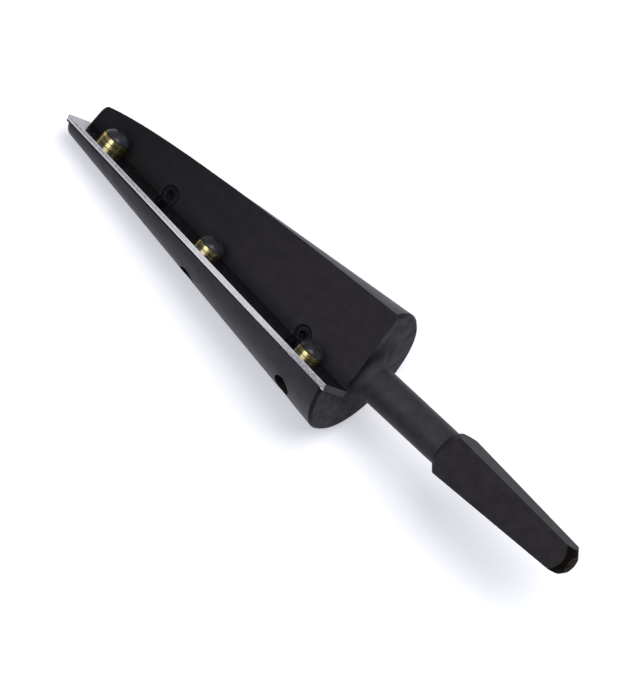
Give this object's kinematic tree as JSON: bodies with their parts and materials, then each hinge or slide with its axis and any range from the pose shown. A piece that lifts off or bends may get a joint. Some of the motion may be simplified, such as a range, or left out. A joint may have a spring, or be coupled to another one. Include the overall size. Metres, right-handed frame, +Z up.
{
  "type": "taper reamer",
  "caption": "Taper reamer with a straight inserted blade in a notched cone, held by domed screws over brass washers, with a round shank and a square brace tang.",
  "frame": {"origin": "under the middle of the tool's bounding box, on the plane that it lies on", "axes": "+Z up; +X along the tool as it lies, from the small end towards the tang; the shank's axis rises towards +X by half the cone's angle, because the cone lies on its side"},
  "size_m": [0.223, 0.0476, 0.0416],
  "materials": {
    "black_steel": "matte black oxide on turned and milled steel",
    "blade_steel": "ground, with fine straight grinding marks",
    "screw_steel": "glossy black oxide",
    "brass": "bright turned brass"
  },
  "bodies": {
    "tool": {"reamer_body": "black_steel"},
    "blade": {"blade": "blade_steel"},
    "tip_adjust_screw": {"tip_adjust_screw": "screw_steel"},
    "rear_adjust_screw": {"rear_adjust_screw": "screw_steel"},
    "tip_washers": {"tip_washer_1": "brass", "tip_washer_2": "brass"},
    "tip_clamp_screw": {"tip_clamp_screw": "screw_steel"},
    "middle_washers": {"middle_washer": "brass"},
    "middle_clamp_screw": {"middle_clamp_screw": "screw_steel"},
    "rear_washers": {"rear_washer": "brass"},
    "rear_clamp_screw": {"rear_clamp_screw": "screw_steel"}
  },
  "joints": [
    {"name": "blade_set_out", "type": "slide", "parent": "tool", "child": "blade", "axis": [-0.2218, -0.4483, 0.8659], "range_m": [0, 0.0008]},
    {"name": "tip_adjust_turn", "type": "hinge", "parent": "blade", "child": "tip_adjust_screw", "pos_m": [-0.07054, -0.00037, 0.0103], "axis": [-0.2218, -0.4483, 0.8659], "range_deg": [0, 228]},
    {"name": "rear_adjust_turn", "type": "hinge", "parent": "blade", "child": "rear_adjust_screw", "pos_m": [-0.00395, -0.00596, 0.02446], "axis": [-0.2218, -0.4483, 0.8659], "range_deg": [0, 228]},
    {"name": "tip_clamp_lift", "type": "slide", "parent": "tool", "child": "tip_washers", "axis": [-0.0221, 0.8901, 0.4552], "range_m": [0, 0.0004]},
    {"name": "tip_clamp_turn", "type": "hinge", "parent": "tip_washers", "child": "tip_clamp_screw", "pos_m": [-0.09574, -0.0023, 0.00845], "axis": [-0.0221, 0.8901, 0.4552], "range_deg": [0, 182]},
    {"name": "middle_clamp_lift", "type": "slide", "parent": "tool", "child": "middle_washers", "axis": [-0.0221, 0.8901, 0.4552], "range_m": [0, 0.0004]},
    {"name": "middle_clamp_turn", "type": "hinge", "parent": "middle_washers", "child": "middle_clamp_screw", "pos_m": [-0.04622, -0.00645, 0.01898], "axis": [-0.0221, 0.8901, 0.4552], "range_deg": [0, 182]},
    {"name": "rear_clamp_lift", "type": "slide", "parent": "tool", "child": "rear_washers", "axis": [-0.0221, 0.8901, 0.4552], "range_m": [0, 0.0004]},
    {"name": "rear_clamp_turn", "type": "hinge", "parent": "rear_washers", "child": "rear_clamp_screw", "pos_m": [0.0033, -0.01061, 0.02951], "axis": [-0.0221, 0.8901, 0.4552], "range_deg": [0, 182]}
  ],
  "couplings": [
    {"joint": "tip_adjust_turn", "follows": "blade_set_out", "rad_per_m": 4947.4},
    {"joint": "rear_adjust_turn", "follows": "blade_set_out", "rad_per_m": 4947.4},
    {"joint": "tip_clamp_turn", "follows": "tip_clamp_lift", "rad_per_m": 7913.3},
    {"joint": "middle_clamp_turn", "follows": "middle_clamp_lift", "rad_per_m": 7913.3},
    {"joint": "rear_clamp_turn", "follows": "rear_clamp_lift", "rad_per_m": 7913.3}
  ]
}
